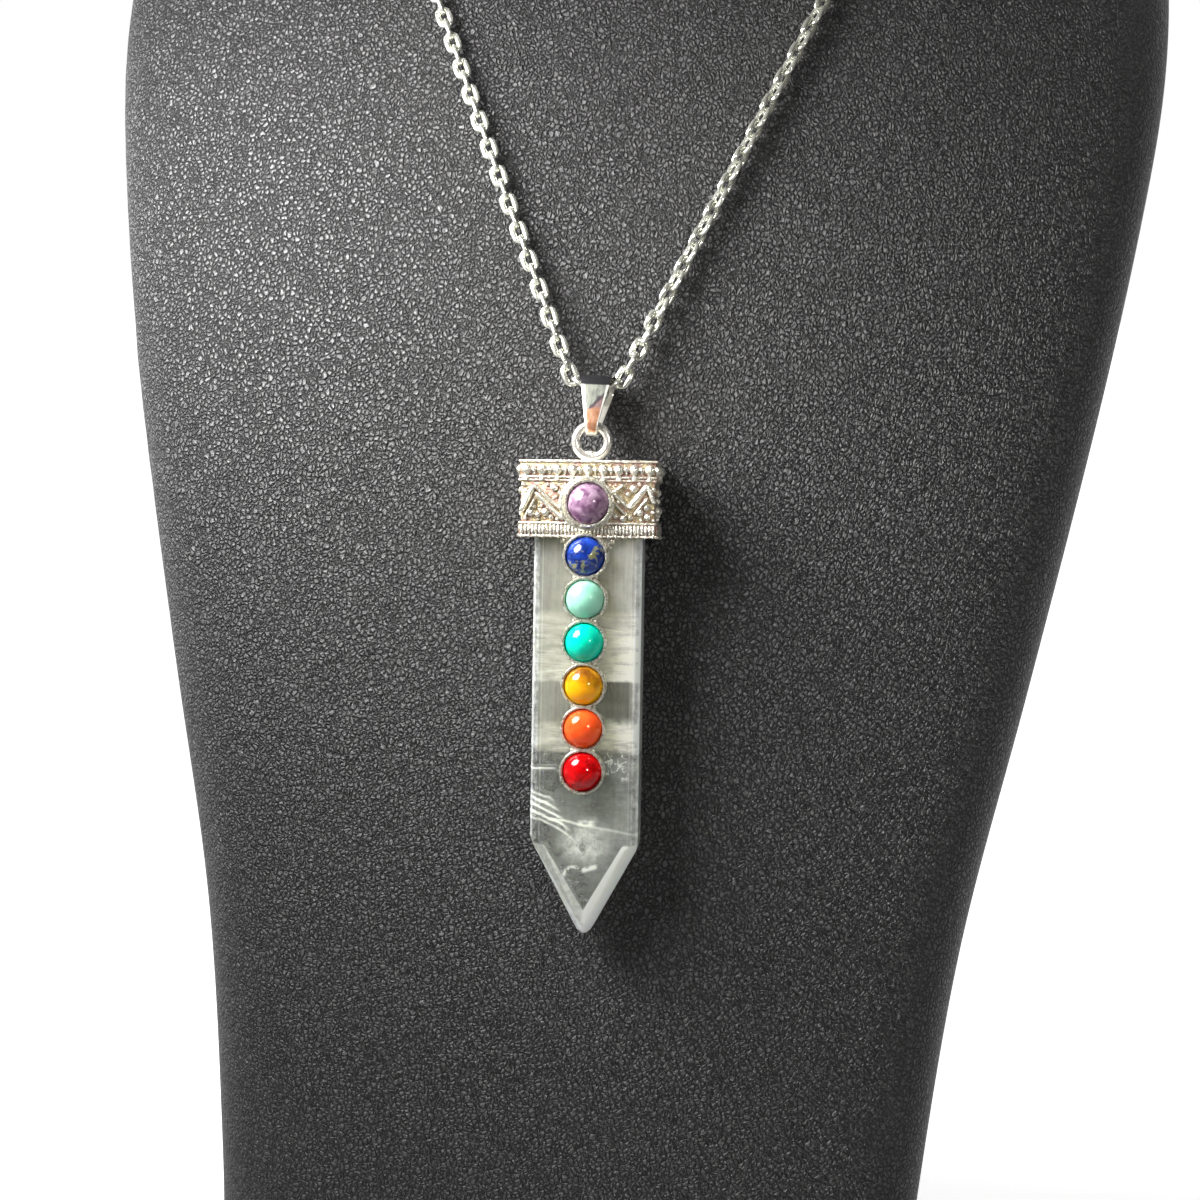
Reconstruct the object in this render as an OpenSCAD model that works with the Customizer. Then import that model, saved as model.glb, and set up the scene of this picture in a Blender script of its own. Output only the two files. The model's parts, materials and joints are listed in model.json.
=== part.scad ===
// Quartz necklace on a neck bust.
// The part stands on its flat base at z = 0, faces -Y, and its box is centred on x = 0 and y = 0.

/* [Bust] */
// Height of the neck bust
bust_h = 310; // [300:1:330]
// Widest width, across the shoulders
bust_w = 151; // [149:1:160]
// Depth, from the foot's front to the back
bust_d = 140; // [139:1:144]

/* [Chain] */
// Diameter of the chain's wire
wire_d = 0.6; // [0.5:0.05:0.65]
// Width of a link
link_w = 2.4; // [2.3:0.05:2.5]
// Wanted distance from one link to the next
link_pitch = 2.1; // [2.05:0.05:2.2]
// Gap between two links that hang in each other
link_gap = 0.1; // [0.1:0.02:0.16]
// Distance between the two eyes of the clasp
clasp_l = 9; // [8:0.5:12]
// Height of the chain's lowest link above the base
chain_low_z = 139; // [138:0.5:142]
// Lean of each strand of the V from upright
strand_angle = 24.6; // [23:0.2:25]

/* [Bail] */
// Length from the chain's axis to the ring's axis
bail_drop = 5.35; // [5.2:0.05:5.6]
// Width at the top
bail_top_w = 4.64; // [4.4:0.1:4.8]
// Width at the tip
bail_tip_w = 1.4; // [1.3:0.1:1.5]
// Thickness of the silver strip
bail_wall = 0.4; // [0.35:0.05:0.4]

/* [Cap] */
// Width of the cap
cap_w = 17.9; // [17.7:0.1:18.4]
// Depth of the cap
cap_d = 8; // [7.8:0.1:8.2]
// Height of the cap
cap_h = 9.95; // [9.8:0.05:10.2]
// Outer diameter of the ring on top
ring_od = 5.4; // [5.2:0.1:5.6]
// Diameter of the ring's wire
ring_wire_d = 1.2; // [1.1:0.05:1.25]

/* [Crystal] */
// Width of the quartz bar
crystal_w = 14; // [13.6:0.1:14.2]
// Thickness of the quartz bar
crystal_d = 6; // [5.8:0.1:6.1]
// Length that shows below the cap, down to the shoulders
crystal_l = 39.6; // [39:0.2:41]
// Length of the pointed end
point_l = 11.8; // [10:0.1:13]

/* [Stones] */
// Diameter of a domed stone on the quartz
stone_d = 5; // [4.9:0.05:5.1]
// Diameter of the violet stone on the cap
violet_d = 5.3; // [5:0.05:5.4]
// Height of the dome above its flat back
stone_h = 2.5; // [2.3:0.1:2.6]
// Wall of a bezel cup
cup_wall = 0.4; // [0.4:0.02:0.46]
// Height of a bezel cup
cup_h = 1.6; // [1.5:0.1:1.7]
// Distance from one cup to the next on the quartz
cup_pitch = 5.53; // [5.48:0.01:5.6]

/* [Hidden] */
$fn = 48;
eps = 0.01;

// The bust's sections, for a bust of the sizes in bust_nominal.
// Columns: height, half width, front y, y of the widest line, back y,
// roundness of the front half, roundness of the back half (2 is an ellipse, more is squarer).
bust_nominal = [151, 140, 310];
bust_sections = [
    [  0, 44.5, -68.0, -52, 56.0, 2.8, 3.4],
    [  4, 46.5, -70.0, -52, 58.0, 2.8, 3.4],
    [ 30, 48.3, -65.4, -49, 60.0, 2.8, 3.4],
    [ 66, 52.4, -59.0, -43, 63.0, 2.8, 3.4],
    [100, 59.4, -53.0, -37, 66.0, 2.8, 3.2],
    [139, 67.3, -46.1, -29, 69.0, 2.7, 3.0],
    [165, 72.2, -38.0, -20, 70.0, 2.6, 2.8],
    [183, 74.9, -30.4, -12, 70.0, 2.5, 2.6],
    [200, 75.5, -21.5,  -2, 69.5, 2.4, 2.5],
    [215, 73.8, -12.6,   8, 68.5, 2.35, 2.4],
    [229, 67.3,  -4.4,  16, 67.5, 2.3, 2.3],
    [243, 57.2,   1.2,  23, 66.8, 2.2, 2.2],
    [258, 50.9,   3.6,  29, 66.2, 2.1, 2.1],
    [280, 48.6,   4.4,  32, 66.0, 2.0, 2.0],
    [300, 48.0,   5.0,  33, 66.0, 2.0, 2.0],
    [310, 44.0,   8.0,  33, 63.0, 2.0, 2.0],
];
bust_scale = [bust_h / bust_nominal[2], bust_w / bust_nominal[0], bust_d / bust_nominal[1],
    bust_d / bust_nominal[1], bust_d / bust_nominal[1], 1, 1];
bust_rows = [for (row = bust_sections) [for (k = [0:6]) row[k] * bust_scale[k]]];
bust_rings = 48;
bust_sides = 56;
bust_edge = 4;

// A smooth step from 0 to 1.
function ease(t) = let (c = min(max(t, 0), 1)) c * c * (3 - 2 * c);

// The bust's section values at height z, on a smooth curve through the rows.
function row_below(z) =
    let (below = [for (k = [0:len(bust_rows) - 2]) if (bust_rows[k][0] <= z) k]) below[len(below) - 1];
function row_rate(k) =
    let (a = bust_rows[max(k - 1, 0)], b = bust_rows[min(k + 1, len(bust_rows) - 1)]) (b - a) / (b[0] - a[0]);
function section_at(z) =
    let (k = row_below(z), a = bust_rows[k], b = bust_rows[k + 1], h = b[0] - a[0], t = (z - a[0]) / h)
    (2 * t * t * t - 3 * t * t + 1) * a + (t * t * t - 2 * t * t + t) * h * row_rate(k)
    + (3 * t * t - 2 * t * t * t) * b + (t * t * t - t * t) * h * row_rate(k + 1);

// A point on the bust: turn is 0 at the front, 90 at the +X side and 180 at the back.
function skin(turn, z) =
    let (row = section_at(z), c = cos(turn), s = sin(turn), power = c >= 0 ? row[5] : row[6],
        depth = c >= 0 ? row[3] - row[2] : row[4] - row[3])
    [row[1] * sign(s) * pow(abs(s), 2 / power), row[3] - depth * sign(c) * pow(abs(c), 2 / power), z];
function outward(turn, z) =
    let (along = skin(turn + 2, z) - skin(turn - 2, z), up = skin(turn, z + 1) - skin(turn, z - 1),
        n = cross(along, up)) n / norm(n);
function laid(turn, z, height) = skin(turn, z) + height * outward(turn, z);

// The turn at which the front of the bust lies x from the middle, at height z.
function turn_of(x, z) = let (row = section_at(z)) asin(pow(x / row[1], row[5] / 2));

// Frame of the chest where the pendant lies: surface point, unit way up it, unit way out of it.
chest_foot = skin(0, chain_low_z);
chest_up = let (d = skin(0, chain_low_z - 5) - skin(0, chain_low_z - 65)) d / norm(d);
chest_out = [0, -chest_up[2], chest_up[1]];
chest_lean = atan2(chest_up[1], chest_up[2]);

// Bail: a strip bent round the chain at the top and round the ring at the tip.
bail_top_r = 1.75;
bail_tip_r = 0.97;
bail_seat = 0.1;
bail_clear = 0.3;
bail_centre = bail_drop + bail_seat;
bail_h = bail_centre + bail_top_r + bail_tip_r + 2 * bail_wall;
chain_axis_h = bail_top_r + bail_wall + bail_clear;
chain_axis = chest_foot + chain_axis_h * chest_out;

// Pendant: its cap lies near the leather and its point leans in a little.
pendant_clear = 0.85;
pendant_tuck = 1.5;
pendant_turn = -2.1;
ring_r = (ring_od - ring_wire_d) / 2;
ring_sunk = 0.15;
cap_top = -2 * ring_r - ring_wire_d / 2 + ring_sunk;
cap_bottom = cap_top - cap_h;
pendant_h = cap_d / 2 + pendant_clear - cap_bottom * tan(pendant_tuck);
bail_tilt = asin((pendant_h - chain_axis_h) / bail_drop);
ring_axis = chain_axis + bail_drop * (sin(bail_tilt) * chest_out - cos(bail_tilt) * chest_up);

// Cap: a socket for the quartz, with raised bands, beads and wirework on its front and ends.
fit_gap = 0.12;
socket_top = cap_top - 3.65;
rim_h = 0.4;
rim_out = 0.35;
bead_d = 1.5;
bead_sunk = 0.15;
bead_z = cap_top - 1.5;
bead_step = 2;
bead_inset = 0.9;
band_h = 0.4;
band_out = 0.3;
band_w = cap_w - 0.2;
frieze_top = cap_top - 2.7;
frieze_low = cap_top - 7.95;
grain_band_h = 1.1;
wire_relief_d = 0.55;
grain_d = 0.95;
// The wirework's corners and the grains: across from the middle, down from the cap's top.
wire_lines = [
    [[-8.4, 6.2], [-6.9, 3.5], [-3.4, 7.2]],
    [[3.6, 5.4], [4, 4], [5.5, 6], [7.6, 3.6], [8.4, 5.2]]];
grain_places = [[-4.3, 3.9], [-6.9, 6.6], [-5.3, 6.8], [5.1, 3.9], [5.6, 6.9], [7.2, 6.5]];
// A thin web ties the first cup on the quartz to the cap.
web_top_w = 7.4;
web_low_w = 5;
web_h = 1.6;
web_lap = 0.4;
solder_d = 1;

// Quartz: a flat bar with eight sides and a pointed end, one shoulder a little lower.
crystal_bevel = 0.7;
crystal_top = socket_top - 0.1;
shoulder_z = cap_bottom - crystal_l;
shoulder_skew = 0.35;
tip_z = shoulder_z - point_l;
tip_w = 1.4;
tip_d = 2.4;
// Cut off each corner of the point, beside its slanting edges, at the shoulders and at the tip.
point_bevel = 1.5;
tip_bevel = 1;

// Cups: one on the cap, six down the quartz.
cup_floor = 0.35;
stone_gap = 0.05;
cup_x = -0.15;
cup_back_y = -crystal_d / 2 - fit_gap;
violet_place = [0.15, -cap_d / 2 + 0.1, cap_top - 5.58];
first_cup = [cup_x, cup_back_y, cap_top - 12.3];
function cup_place(k) = first_cup - [0, 0, cup_pitch * k];
stone_rise = 0.7;

// Chain: a link's end is a half ring; reach is from that half ring's centre to the joint.
end_r = (link_w - wire_d) / 2;
reach = end_r - (wire_d + link_gap) / 2;
middle_bend = 28;
lay_h = 1.4;
settle = 16;
route_step = 9;
v_top_z = 236;
clasp_d = 2.6;

// Where the strand leaves the V and goes round the neck. Columns: turn, height.
neck_route = [
    [ 62, 243.5],
    [ 80, 248.5],
    [ 98, 252.5],
    [116, 256],
    [134, 259],
    [150, 261],
    [165, 262.3],
    [180, 262.8],
];

half_link = (link_pitch - 2 * reach) / 2;
first_joint = let (run = half_link + (2 * half_link + 4 * reach) * cos(middle_bend),
    rise = (2 * half_link + 4 * reach) * sin(middle_bend)) [run, rise];
first_z = chain_low_z + first_joint[1] * cos(chest_lean);
v_steps = round((v_top_z - first_z) / route_step);
v_route = [for (k = [0:v_steps])
    let (rise = (v_top_z - first_z) * k / v_steps)
    [turn_of(first_joint[0] + rise * tan(strand_angle), first_z + rise), first_z + rise]];
route = concat(v_route, neck_route);

// A smooth curve through a list of [turn, height] rows.
function rows_at(rows, p) =
    let (last = len(rows) - 1, k = min(floor(p), last - 1), t = p - k, a = rows[k], b = rows[k + 1],
        u = k > 0 ? (b - rows[k - 1]) / 2 : b - a, v = k < last - 1 ? (rows[k + 2] - a) / 2 : b - a)
    (2 * t * t * t - 3 * t * t + 1) * a + (t * t * t - 2 * t * t + t) * u
    + (3 * t * t - 2 * t * t * t) * b + (t * t * t - t * t) * v;

route_parts = 14;
route_samples = [for (k = [0:(len(route) - 1) * route_parts]) rows_at(route, k / route_parts)];
route_rough = [for (s = route_samples) skin(s[0], s[1])];
function run_lengths(points) =
    [for (k = 0, s = 0; k < len(points); s = s + (k + 1 < len(points) ? norm(points[k + 1] - points[k]) : 0),
        k = k + 1) s];
rough_lengths = run_lengths(route_rough);
route_points = [for (k = [0:len(route_samples) - 1]) let (s = route_samples[k],
    high = chain_axis_h - (chain_axis_h - lay_h) * ease(rough_lengths[k] / settle)) laid(s[0], s[1], high)];
route_lengths = run_lengths(route_points);
route_length = route_lengths[len(route_lengths) - 1];
route_outward = [for (s = route_samples) outward(s[0], s[1])];

// Points and outward directions by the length run along the strand.
function by_length(values, k) = [for (j = [0:len(values) - 1]) [route_lengths[j], values[j][k]]];
route_tables = [for (k = [0:2]) by_length(route_points, k)];
outward_tables = [for (k = [0:2]) by_length(route_outward, k)];
function route_at(s) = [for (k = [0:2]) lookup(s, route_tables[k])];
function outward_at(s) = let (n = [for (k = [0:2]) lookup(s, outward_tables[k])]) n / norm(n);

// The same place on the other side.
function sided(place, side) = [side * place[0], place[1], place[2]];

// The links fill each strand from its first joint to the clasp's eye.
strand_start = 2 * half_link + reach;
strand_run = route_length - strand_start - clasp_l / 2 - reach;
links_a_side = round(strand_run / link_pitch);
pitch = strand_run / links_a_side;
link_l = link_w + pitch - 2 * reach;
twist_links = 7;
function twist(k) = 45 * ease(k / twist_links) * ease((links_a_side - k) / twist_links);

// Puts what stands along Z, with its face to -Y, at a place, along a direction and facing outward.
module aim(place, along, out) {
    z_way = along / norm(along);
    x_way = let (c = cross(z_way, -out)) -c / norm(c);
    y_way = cross(z_way, x_way);
    multmatrix([
        [x_way[0], y_way[0], z_way[0], place[0]],
        [x_way[1], y_way[1], z_way[1], place[1]],
        [x_way[2], y_way[2], z_way[2], place[2]],
        [0, 0, 0, 1]]) children();
}

// One oval link along Z, its ring in the XZ plane.
module link(length) {
    straight = length - link_w;
    rotate([90, 0, 0]) {
        for (side = [0, 1])
            translate([0, (side - 0.5) * straight, 0]) rotate([0, 0, side * 180 + 180])
                rotate_extrude(angle = 180) translate([end_r, 0]) circle(d = wire_d, $fn = 24);
        for (side = [-1, 1])
            translate([side * end_r, straight / 2, 0]) rotate([90, 0, 0])
                cylinder(d = wire_d, h = straight, $fn = 24);
    }
}

// Moves from the chest's frame, X across, Y into the bust and Z up it, to the part's own.
module on_chest(place) {
    translate(place) rotate([-chest_lean, 0, 0]) children();
}

module hang_bail() {
    on_chest(ring_axis) rotate([-bail_tilt, 0, 0]) children();
}

module hang_pendant() {
    on_chest(ring_axis) rotate([pendant_tuck, 0, 0]) rotate([0, pendant_turn, 0]) children();
}

module bust() {
    ring_z = concat(
        [0, bust_edge / 3, bust_edge],
        [for (k = [1:bust_rings]) bust_edge + (bust_h - 2.5 * bust_edge) * k / bust_rings],
        [bust_h - bust_edge / 2, bust_h]);
    n = bust_sides;
    last = len(ring_z) - 1;
    points = concat(
        [for (z = ring_z) for (k = [0:n - 1]) skin(360 * k / n, z)],
        [[0, 0, 0], [0, bust_rows[len(bust_rows) - 1][3], bust_h]]);
    foot = (last + 1) * n;
    corners = [for (r = [0:last - 1]) for (k = [0:n - 1]) let (j = (k + 1) % n)
        [r * n + k, (r + 1) * n + k, (r + 1) * n + j, r * n + j]];
    faces = concat(
        [for (c = corners) [c[0], c[1], c[2]]],
        [for (c = corners) [c[0], c[2], c[3]]],
        [for (k = [0:n - 1]) [k, (k + 1) % n, foot]],
        [for (k = [0:n - 1]) [last * n + (k + 1) % n, last * n + k, foot + 1]]);
    color([0.09, 0.09, 0.1]) polyhedron(points, faces);
}

// One strand of the V and its way round the neck. Its first link hangs on the middle link's neighbour.
module strand(side) {
    for (k = [0:links_a_side - 1]) {
        s_low = k == 0 ? 0 : strand_start + pitch * (k - 1);
        s_high = strand_start + pitch * k;
        low = sided(route_at(s_low), side);
        high = sided(route_at(s_high), side);
        along = (high - low) / norm(high - low);
        place = k == 0 ? low + half_link * along : (low + high) / 2;
        aim(place, along, sided(outward_at((s_low + s_high) / 2), side))
            rotate([0, 0, 90 * (k % 2) + (side > 0 ? twist(k) : 0)]) link(link_l);
    }
}

module chain() {
    color([0.78, 0.78, 0.8]) {
        on_chest(chain_axis) rotate([0, 90, 0]) link(link_l);
        for (side = [-1, 1]) {
            from = chain_axis + [side * half_link, 0, 0];
            to = sided(route_at(0), side);
            aim((from + to) / 2, to - from, chest_out) rotate([0, 0, 90]) link(link_l);
            strand(side);
        }
    }
}

// A plain barrel at the nape, with an eye at each end for the last links.
module clasp() {
    color([0.78, 0.78, 0.8]) aim(route_at(route_length), [1, 0, 0], outward_at(route_length)) {
        cylinder(d = clasp_d, h = clasp_l - 2 * end_r, center = true, $fn = 32);
        for (side = [-1, 1])
            translate([0, 0, side * clasp_l / 2]) rotate([0, 0, 90 * (links_a_side % 2)]) rotate([90, 0, 0])
                rotate_extrude() translate([end_r, 0]) circle(d = wire_d, $fn = 24);
    }
}

// Outline of the bail's loop in X (out of the bust) and Y (up), round its two centres.
function loop_outline(top_r, tip_r) =
    let (lean = asin((top_r - tip_r) / bail_centre), parts = 20)
    concat([for (k = [0:parts]) let (a = lean + (180 - 2 * lean) * k / parts)
        [top_r * cos(a), bail_centre + top_r * sin(a)]],
        [for (k = [0:parts]) let (a = 180 - lean + (180 + 2 * lean) * k / parts)
        [tip_r * cos(a), tip_r * sin(a)]]);

module bail() {
    low = -bail_tip_r - bail_wall;
    high = low + bail_h;
    color([0.8, 0.8, 0.82]) hang_bail() intersection() {
        rotate([90, 0, -90]) linear_extrude(bail_top_w + 1, center = true) difference() {
            polygon(loop_outline(bail_top_r + bail_wall, bail_tip_r + bail_wall));
            polygon(loop_outline(bail_top_r, bail_tip_r));
        }
        rotate([90, 0, 0]) linear_extrude(12, center = true) polygon([
            [-bail_tip_w / 2, low - eps], [bail_tip_w / 2, low - eps],
            [bail_top_w / 2, high + eps], [-bail_top_w / 2, high + eps]]);
    }
}

module block(w, d, h, z, corner = 0.8) {
    translate([0, 0, z]) linear_extrude(h) rounded(w, d, corner);
}

// A rectangle with cut corners, three facets to a corner.
module rounded(w, d, corner) {
    polygon([for (q = [0:3]) for (k = [0:3]) let (a = 90 * q + 30 * k,
        x = (q == 0 || q == 3 ? 1 : -1) * (w / 2 - corner), y = (q < 2 ? 1 : -1) * (d / 2 - corner))
        [x + corner * cos(a), y + corner * sin(a)]]);
}

// Places along the front and the two ends of the cap. Its back is plain, because it lies on the wearer.
module round_the_cap(step, inset) {
    for (wall = [-1, 0, 1]) {
        long = wall == 0 ? cap_w : cap_d;
        off = wall == 0 ? cap_d / 2 : cap_w / 2 - rim_out;
        count = floor((long - 2 * inset) / step);
        rotate([0, 0, 90 * wall]) for (k = [0:count]) translate([(k - count / 2) * step, -off, 0]) children();
    }
}

// A straight raised wire on the frieze, between two places given as across and down from the cap's top.
module relief_wire(from, to) {
    run = [to[0] - from[0], from[1] - to[1]];
    translate([from[0], -cap_d / 2, cap_top - from[1]]) rotate([0, atan2(run[0], run[1]), 0])
        cylinder(d = wire_relief_d, h = norm(run), $fn = 16);
}

module relief_grain(place) {
    translate([place[0], -cap_d / 2, cap_top - place[1]]) sphere(d = grain_d, $fn = 24);
}

// Raised wirework beside the violet stone: a bent wire on each side, and round grains.
module frieze() {
    for (line = wire_lines) for (k = [0:len(line) - 2]) relief_wire(line[k], line[k + 1]);
    for (place = grain_places) relief_grain(place);
}

// Room for a stone of diameter d above the floor of its cup.
module stone_room(d, place) {
    translate(place - [0, cup_floor, 0]) rotate([90, 0, 0]) cylinder(d = d + 2 * stone_gap, h = stone_h + 1);
}

// A bezel cup for a stone of diameter d.
module cup(d, place) {
    difference() {
        translate(place) rotate([90, 0, 0]) cylinder(d = d + 2 * (stone_gap + cup_wall), h = cup_h);
        stone_room(d, place);
    }
}

module cap() {
    inner_w = crystal_w + 2 * fit_gap;
    inner_d = crystal_d + 2 * fit_gap;
    color([0.72, 0.72, 0.74]) hang_pendant() {
        difference() {
            union() {
                block(cap_w - 2 * rim_out, cap_d, cap_h, cap_bottom);
                block(cap_w, cap_d + rim_out, rim_h, cap_top - rim_h);
                for (z = [frieze_top, frieze_low - band_h]) block(band_w, cap_d + 2 * band_out, band_h, z);
                block(cap_w, cap_d + rim_out, grain_band_h, cap_bottom);
                round_the_cap(bead_step, bead_inset)
                    translate([0, bead_sunk, bead_z]) sphere(d = bead_d, $fn = 24);
                frieze();
            }
            block(inner_w, inner_d, socket_top - cap_bottom + 1, cap_bottom - 1, crystal_bevel);
            stone_room(stone_d, first_cup);
        }
        translate([0, 0, -ring_r]) rotate([90, 0, 0])
            rotate_extrude() translate([ring_r, 0]) circle(d = ring_wire_d, $fn = 24);
        translate([0, 0, -2 * ring_r + ring_wire_d / 2]) sphere(d = solder_d, $fn = 24);
        cup(violet_d, violet_place);
        for (k = [0:5]) cup(stone_d, cup_place(k));
        translate([cup_x, cup_back_y, cap_bottom]) rotate([90, 0, 0]) linear_extrude(cup_floor) polygon([
            [-web_top_w / 2, web_lap], [-web_low_w / 2, -web_h],
            [web_low_w / 2, -web_h], [web_top_w / 2, web_lap]]);
    }
}

// The flat bar with eight sides, down to the tip's level.
module quartz_bar(half_w, half_d) {
    translate([0, 0, tip_z]) linear_extrude(crystal_top - tip_z) polygon([
        for (q = [[1, 1], [-1, 1], [-1, -1], [1, -1]]) for (k = [0, 1])
            let (cut = (q[0] * q[1] > 0) == (k == 0) ? [0, crystal_bevel] : [crystal_bevel, 0])
            [q[0] * (half_w - cut[0]), q[1] * (half_d - cut[1])]]);
}

module crystal() {
    half_w = crystal_w / 2;
    half_d = crystal_d / 2;
    top = crystal_top + eps;
    bevel_reach = half_w + half_d - point_bevel;
    tip_reach = (tip_w + tip_d) / 2 - tip_bevel;
    rise = (bevel_reach - tip_reach) / (shoulder_z - tip_z);
    color([0.86, 0.9, 0.88, 0.6]) hang_pendant() intersection() {
        quartz_bar(half_w, half_d);
        translate([0, 0, tip_z]) cylinder(h = crystal_top - tip_z, r1 = tip_reach,
            r2 = tip_reach + rise * (crystal_top - tip_z), $fn = 4);
        rotate([90, 0, 0]) linear_extrude(crystal_d + 1, center = true) polygon([
            [-half_w - eps, top],
            [-half_w - eps, shoulder_z + shoulder_skew],
            [-tip_w / 2, tip_z],
            [tip_w / 2, tip_z],
            [half_w + eps, shoulder_z - shoulder_skew],
            [half_w + eps, top]]);
        rotate([90, 0, 90]) linear_extrude(crystal_w + 1, center = true) polygon([
            [-half_d - eps, top],
            [-half_d - eps, shoulder_z + 1],
            [-tip_d / 2, tip_z - eps],
            [tip_d / 2, tip_z - eps],
            [half_d + eps, shoulder_z + 1],
            [half_d + eps, top]]);
    }
}

// A domed stone on its flat back.
module stone(d, place, tint) {
    dome_h = stone_h - stone_rise;
    ball_r = (d * d / 4 + dome_h * dome_h) / (2 * dome_h);
    color(tint) hang_pendant() translate(place - [0, cup_floor + stone_gap, 0]) rotate([90, 0, 0])
        intersection() {
            cylinder(d = d, h = stone_h + 1);
            translate([0, 0, stone_h - ball_r]) sphere(r = ball_r);
        }
}

module row_stone(k, tint) {
    stone(stone_d, cup_place(k), tint);
}

bust();
chain();
clasp();
bail();
cap();
crystal();
stone(violet_d, violet_place, [0.5, 0.3, 0.7]);  // stone_violet
row_stone(0, [0.08, 0.12, 0.4]);  // stone_blue
row_stone(1, [0.6, 0.8, 0.75]);  // stone_aqua
row_stone(2, [0.1, 0.5, 0.42]);  // stone_green
row_stone(3, [0.85, 0.6, 0.15]);  // stone_amber
row_stone(4, [0.85, 0.4, 0.1]);  // stone_orange
row_stone(5, [0.6, 0.05, 0.08]);  // stone_red
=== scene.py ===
"""Quartz necklace on a neck bust: the looks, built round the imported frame. Metres, +Z up, the pendant faces -Y."""
import json
import math
import random

import bmesh
import bpy
import numpy as np
from mathutils import Matrix, Vector


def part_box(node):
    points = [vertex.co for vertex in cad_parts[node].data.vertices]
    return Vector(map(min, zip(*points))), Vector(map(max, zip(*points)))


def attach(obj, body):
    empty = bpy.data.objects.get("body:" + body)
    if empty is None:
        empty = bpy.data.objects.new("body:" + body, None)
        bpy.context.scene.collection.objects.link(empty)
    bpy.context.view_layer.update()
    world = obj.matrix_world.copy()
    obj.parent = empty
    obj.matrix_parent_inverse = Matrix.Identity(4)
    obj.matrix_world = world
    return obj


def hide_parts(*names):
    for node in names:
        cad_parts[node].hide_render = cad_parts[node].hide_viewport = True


MM = 0.001
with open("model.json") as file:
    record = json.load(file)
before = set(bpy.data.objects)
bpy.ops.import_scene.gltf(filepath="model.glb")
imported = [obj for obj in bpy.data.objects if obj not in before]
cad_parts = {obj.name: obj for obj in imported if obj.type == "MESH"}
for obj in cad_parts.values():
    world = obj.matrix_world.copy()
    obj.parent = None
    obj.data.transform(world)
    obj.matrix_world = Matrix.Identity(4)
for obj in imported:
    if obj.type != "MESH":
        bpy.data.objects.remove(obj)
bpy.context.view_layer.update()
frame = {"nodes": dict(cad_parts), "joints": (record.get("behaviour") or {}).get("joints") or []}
rng = random.Random(7)

# How the pendant hangs: from the ring's top, leaning with the chest, turned a little in its own plane.
RING_AXIS = Vector(frame["joints"][1]["pos_m"])
CHEST_LEAN, TUCK, TURN = 9.83, 1.5, -2.1
HANG = (Matrix.Translation(RING_AXIS) @ Matrix.Rotation(math.radians(-CHEST_LEAN), 4, "X")
        @ Matrix.Rotation(math.radians(TUCK), 4, "X") @ Matrix.Rotation(math.radians(TURN), 4, "Y"))

# Sizes of the pendant in mm, in its own frame: X across, -Y out of the chest, Z up, zero at the ring's top.
CAP_TOP, CAP_LOW, CAP_W, CAP_D = -4.65, -14.6, 17.9, 8.0
FRIEZE_Y = -CAP_D / 2
RING_R, RING_WIRE = 2.1, 0.6
QUARTZ_W, QUARTZ_D, QUARTZ_TOP, SHOULDER, TIP = 14.0, 6.0, -8.4, -54.2, -66.0
VIOLET, FIRST_CUP, CUP_PITCH = Vector((0.15, -3.9, -10.23)), Vector((-0.15, -3.12, -16.95)), 5.53
CUP_FLOOR, CUP_H, CUP_WALL = 0.35, 1.6, 0.45
STONE_D, VIOLET_D, STONE_H, STONE_WALL, STONE_GAP = 5.0, 5.3, 1.8, 0.7, 0.05

# The chain in mm: links in the frame's own, wire and bend of a link, and the clasp's eyes: their middles, and where
# the last links meet them.
LINKS = 209
LINK_WIRE, LINK_BEND = 0.3, 0.9
EYE_AT, EYE_JOINT = 4.5, 5.05

# The camera: what it looks at, its angles in degrees, its distance, and its focal length and frame in pixels.
TARGET = Vector((2.19, -55.0, 113.0)) * MM
AZIMUTH, ELEVATION, ROLL, DISTANCE = 5.7, 10.0, 2.2, 0.280
FOCAL_PX, FRAME_PX, SENSOR_MM = 2154, 1200, 36.0


# ---------------------------------------------------------------- materials

class Flow:
    """A number on its way through a finish. Sums and products of it add nodes to that finish."""

    def __init__(self, finish, socket):
        self.finish, self.socket = finish, socket

    def math(self, kind, *values):
        return self.finish.add("ShaderNodeMath", {"operation": kind}, dict(enumerate(values)))

    def __add__(self, other): return self.math("ADD", self, other)
    def __radd__(self, other): return self.math("ADD", other, self)
    def __sub__(self, other): return self.math("SUBTRACT", self, other)
    def __rsub__(self, other): return self.math("SUBTRACT", other, self)
    def __mul__(self, other): return self.math("MULTIPLY", self, other)
    def __rmul__(self, other): return self.math("MULTIPLY", other, self)
    def __truediv__(self, other): return self.math("DIVIDE", self, other)
    def __rtruediv__(self, other): return self.math("DIVIDE", other, self)
    def __pow__(self, other): return self.math("POWER", self, other)
    def __rpow__(self, other): return self.math("POWER", other, self)
    def above(self, other): return self.math("MAXIMUM", self, other)
    def below(self, other): return self.math("MINIMUM", self, other)
    def size(self): return self.math("ABSOLUTE", self)
    def sine(self): return self.math("SINE", self)

    def step(self, low, high):
        """0 up to low, 1 from high, smooth between; falls instead where low is above high."""
        return self.finish.add("ShaderNodeMapRange", {"interpolation_type": "SMOOTHSTEP"},
                               {"Value": self, "From Min": low, "From Max": high})


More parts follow.
